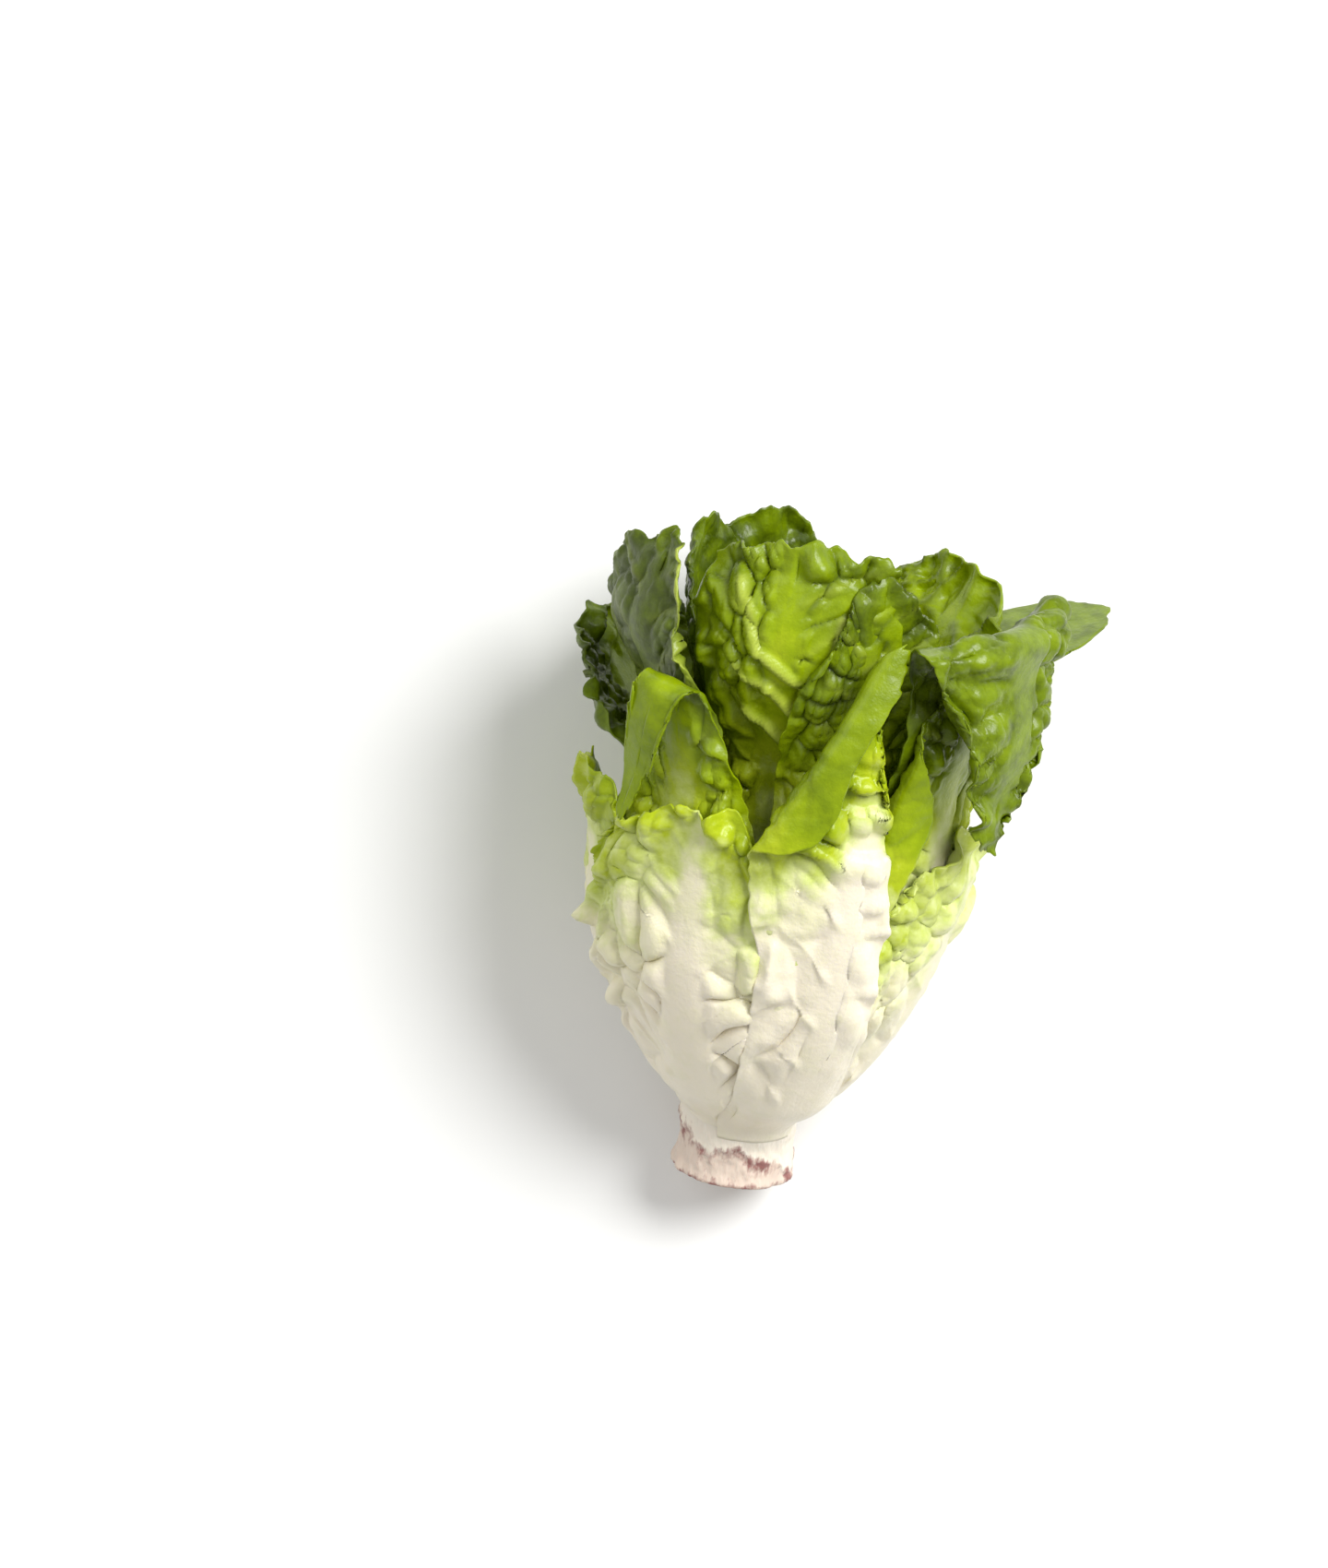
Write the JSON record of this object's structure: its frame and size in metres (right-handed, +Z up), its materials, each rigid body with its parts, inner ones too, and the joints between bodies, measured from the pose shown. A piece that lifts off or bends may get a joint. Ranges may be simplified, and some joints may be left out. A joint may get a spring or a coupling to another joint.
{
  "type": "head of lettuce",
  "caption": "Small upright lettuce head with a cut stem, pale ribs at the base, green blistered leaves above and folded tips, lying on its side.",
  "frame": {"origin": "on the table, under the middle of the head's bounding box, with the head lying on its side", "axes": "+Z up from the table, +Y from the cut stem towards the leaf tips, +X across the head"},
  "size_m": [0.108, 0.1482, 0.1058],
  "materials": {
    "stem_flesh": "satin",
    "green_leaf": "satin",
    "heart_leaf": "satin"
  },
  "bodies": {
    "root": {"cut_stem": "stem_flesh", "front_right_leaf": "green_leaf", "front_left_short_leaf": "green_leaf", "right_short_leaf": "green_leaf", "left_short_leaf": "green_leaf", "right_edge_leaf": "green_leaf", "left_folded_leaf": "green_leaf", "right_hanging_leaf": "green_leaf", "lower_right_leaf": "green_leaf", "lower_left_leaf": "green_leaf", "right_tail_leaf": "green_leaf", "left_rolled_leaf": "green_leaf", "underside_leaf": "green_leaf", "centre_right_leaf": "green_leaf", "back_right_leaf": "green_leaf", "centre_veined_leaf": "green_leaf", "back_left_leaf": "green_leaf", "left_inner_leaf": "green_leaf", "back_inner_leaf": "green_leaf", "heart_leaf_1": "heart_leaf", "heart_leaf_2": "heart_leaf", "heart_leaf_3": "heart_leaf", "heart_leaf_4": "heart_leaf", "heart_leaf_5": "heart_leaf", "heart_leaf_6": "heart_leaf"}
  },
  "joints": []
}
